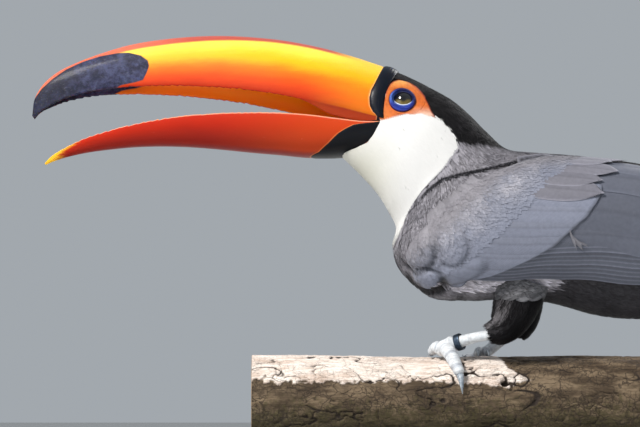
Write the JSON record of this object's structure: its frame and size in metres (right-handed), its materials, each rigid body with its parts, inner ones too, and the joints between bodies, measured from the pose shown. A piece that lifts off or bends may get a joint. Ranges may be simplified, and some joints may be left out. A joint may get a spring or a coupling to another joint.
{
  "type": "toco toucan model",
  "caption": "Life-size still model of a toco toucan with its bill open, crouched along a cut log perch on a plain display stand.",
  "frame": {"origin": "on the floor under the middle of the model, midway between the bill tip and the end of the tail, at the level of the stand base's underside", "axes": "the bird faces -X with its left side towards -Y and its back towards +Z; the log runs along X"},
  "size_m": [0.5462, 0.15, 0.2898],
  "materials": {
    "bill_orange": "smooth glossy horn, orange with a yellow top, black tip and black base band",
    "bill_red": "smooth glossy horn, vermilion with a yellow tip and a black base patch",
    "black_feathers": "soft overlapping feathers, charcoal black",
    "white_feathers": "fine soft white feathers with a black nape",
    "eye": "wet gloss, dark iris and pupil",
    "leg_skin": "scaled skin, pale blue-grey",
    "claw_horn": "smooth grey horn",
    "ring_metal": "dark blue anodised, plain",
    "bark": "weathered bark with long cracks",
    "stand_wood": "satin black paint",
    "stand_steel": "satin steel"
  },
  "bodies": {
    "root": {"bill_lower": "bill_red", "bill_upper": "bill_orange", "claw_left_1": "claw_horn", "claw_left_2": "claw_horn", "claw_left_3": "claw_horn", "claw_left_4": "claw_horn", "claw_right_1": "claw_horn", "claw_right_2": "claw_horn", "claw_right_3": "claw_horn", "claw_right_4": "claw_horn", "eye_left": "eye", "eye_right": "eye", "foot_left": "leg_skin", "foot_right": "leg_skin", "head": "black_feathers", "leg_ring": "ring_metal", "neck": "white_feathers", "perch_log": "bark", "shank_left": "leg_skin", "shank_right": "leg_skin", "stand_base": "stand_wood", "stand_rod_1": "stand_steel", "stand_rod_2": "stand_steel", "tail": "black_feathers", "thigh_left": "black_feathers", "thigh_right": "black_feathers", "trunk": "black_feathers", "wing_left": "black_feathers", "wing_right": "black_feathers"}
  },
  "joints": []
}
